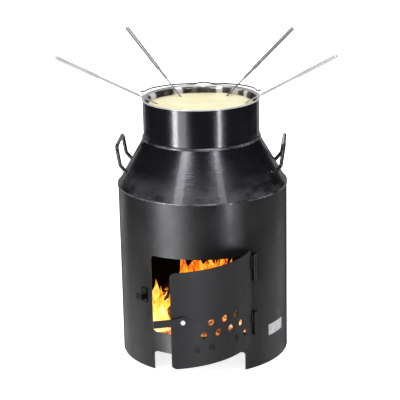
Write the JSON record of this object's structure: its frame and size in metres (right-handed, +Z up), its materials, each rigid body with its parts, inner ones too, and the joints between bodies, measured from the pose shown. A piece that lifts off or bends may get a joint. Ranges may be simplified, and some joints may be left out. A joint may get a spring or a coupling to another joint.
{
  "type": "fondue pot set",
  "caption": "Milk-can shaped outdoor fondue stove with a perforated fire door and latch, side handles, and a lift-out pot with bail and long forks.",
  "frame": {"origin": "on the can's vertical axis, in the plane of the drum's bottom rim, which stands on the floor", "axes": "+Z up along the can's axis, -Y towards the front where the fire door is, +X towards the side where the door is hinged"},
  "size_m": [0.4062, 0.3645, 0.4996],
  "materials": {
    "matte_black_paint": "matte heat-resistant black stove paint",
    "gloss_black_paint": "glossy black enamel",
    "stainless_pot": "polished stainless steel",
    "stainless_fork": "satin stainless steel",
    "zinc_plated_steel": "bright zinc plating",
    "label_silver": "satin silver, blank"
  },
  "bodies": {
    "stove": {"drum_front": "matte_black_paint", "drum_back": "matte_black_paint", "shoulder_cone": "gloss_black_paint", "neck": "gloss_black_paint", "drum_seam": "gloss_black_paint", "neck_seam": "gloss_black_paint", "fire_floor": "matte_black_paint", "label_plate": "label_silver", "hinge_lower_drum_half": "matte_black_paint", "hinge_lower_pin": "zinc_plated_steel", "hinge_upper_drum_half": "matte_black_paint", "hinge_upper_pin": "zinc_plated_steel", "latch_catch": "matte_black_paint", "handle_left": "gloss_black_paint", "handle_right": "gloss_black_paint"},
    "door": {"door_panel": "matte_black_paint", "hinge_lower_door_half": "matte_black_paint", "hinge_upper_door_half": "matte_black_paint", "latch_rivet": "zinc_plated_steel"},
    "latch": {"latch_strap": "matte_black_paint"},
    "pot": {"pot_wall": "stainless_pot", "pot_lip": "stainless_pot", "pot_foot": "stainless_pot", "pot_base": "stainless_pot", "pot_ear_left": "stainless_pot", "pot_ear_right": "stainless_pot"},
    "bail": {"bail_wire": "stainless_pot"},
    "fork_back_left": {"fork_back_left_handle": "stainless_fork", "fork_back_left_shaft": "stainless_fork", "fork_back_left_tines": "stainless_fork"},
    "fork_back_right": {"fork_back_right_handle": "stainless_fork", "fork_back_right_shaft": "stainless_fork", "fork_back_right_tines": "stainless_fork"},
    "fork_front_left": {"fork_front_left_handle": "stainless_fork", "fork_front_left_shaft": "stainless_fork", "fork_front_left_tines": "stainless_fork"},
    "fork_front_right": {"fork_front_right_handle": "stainless_fork", "fork_front_right_shaft": "stainless_fork", "fork_front_right_tines": "stainless_fork"}
  },
  "joints": [
    {"name": "door_hinge", "type": "hinge", "parent": "stove", "child": "door", "pos_m": [0.07506, -0.1158, 0.12], "axis": [0, 0, 1], "range_deg": [-45, 75]},
    {"name": "latch_pivot", "type": "hinge", "parent": "door", "child": "latch", "pos_m": [-0.03302, -0.22031, 0.123], "axis": [-0.1977, 0.9803, 0], "range_deg": [0, 95]},
    {"name": "pot_lift", "type": "slide", "parent": "stove", "child": "pot", "axis": [0, 0, 1], "range_m": [0, 0.13]},
    {"name": "bail_hinge", "type": "hinge", "parent": "pot", "child": "bail", "pos_m": [0, 0, 0.4158], "axis": [0.9986, -0.0523, 0], "range_deg": [0, 165]},
    {"name": "fork_back_left_draw", "type": "slide", "parent": "pot", "child": "fork_back_left", "axis": [-0.5779, 0.4483, 0.682], "range_m": [0, 0.157]},
    {"name": "fork_back_right_draw", "type": "slide", "parent": "pot", "child": "fork_back_right", "axis": [0.7078, 0.0495, 0.7046], "range_m": [0, 0.158]},
    {"name": "fork_front_left_draw", "type": "slide", "parent": "pot", "child": "fork_front_left", "axis": [-0.6261, -0.6261, 0.4648], "range_m": [0, 0.087]},
    {"name": "fork_front_right_draw", "type": "slide", "parent": "pot", "child": "fork_front_right", "axis": [0.5717, -0.6813, 0.4571], "range_m": [0, 0.088]}
  ]
}
